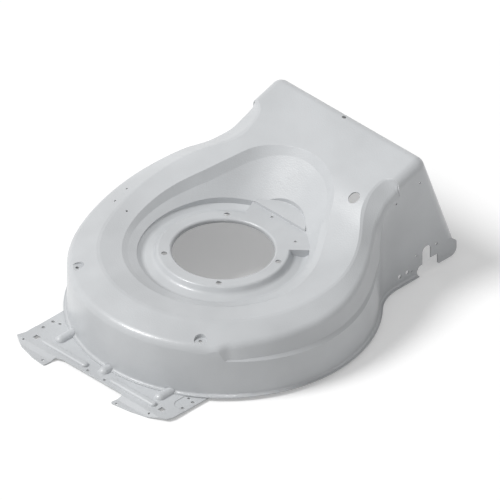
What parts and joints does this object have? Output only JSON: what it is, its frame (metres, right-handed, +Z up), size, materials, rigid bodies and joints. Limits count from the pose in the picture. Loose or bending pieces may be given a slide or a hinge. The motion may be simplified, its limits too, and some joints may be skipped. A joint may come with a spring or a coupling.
{
  "type": "lawn mower deck",
  "caption": "Pressed steel deck of a walk-behind mower: round blade chamber, spiral roof rising to a rear discharge hood, engine seat ring and a front mounting plate.",
  "frame": {"origin": "on the blade axis at the top face of the engine seat ring", "axes": "+Z up along the blade axis, -Y to the front of the mower, +Y to the rear discharge, +X across the deck"},
  "size_m": [0.5459, 0.7312, 0.2393],
  "materials": {
    "shell_paint": "satin",
    "plate_paint": "satin"
  },
  "bodies": {
    "root": {"deck_shell": "shell_paint", "front_plate": "plate_paint"}
  },
  "joints": []
}
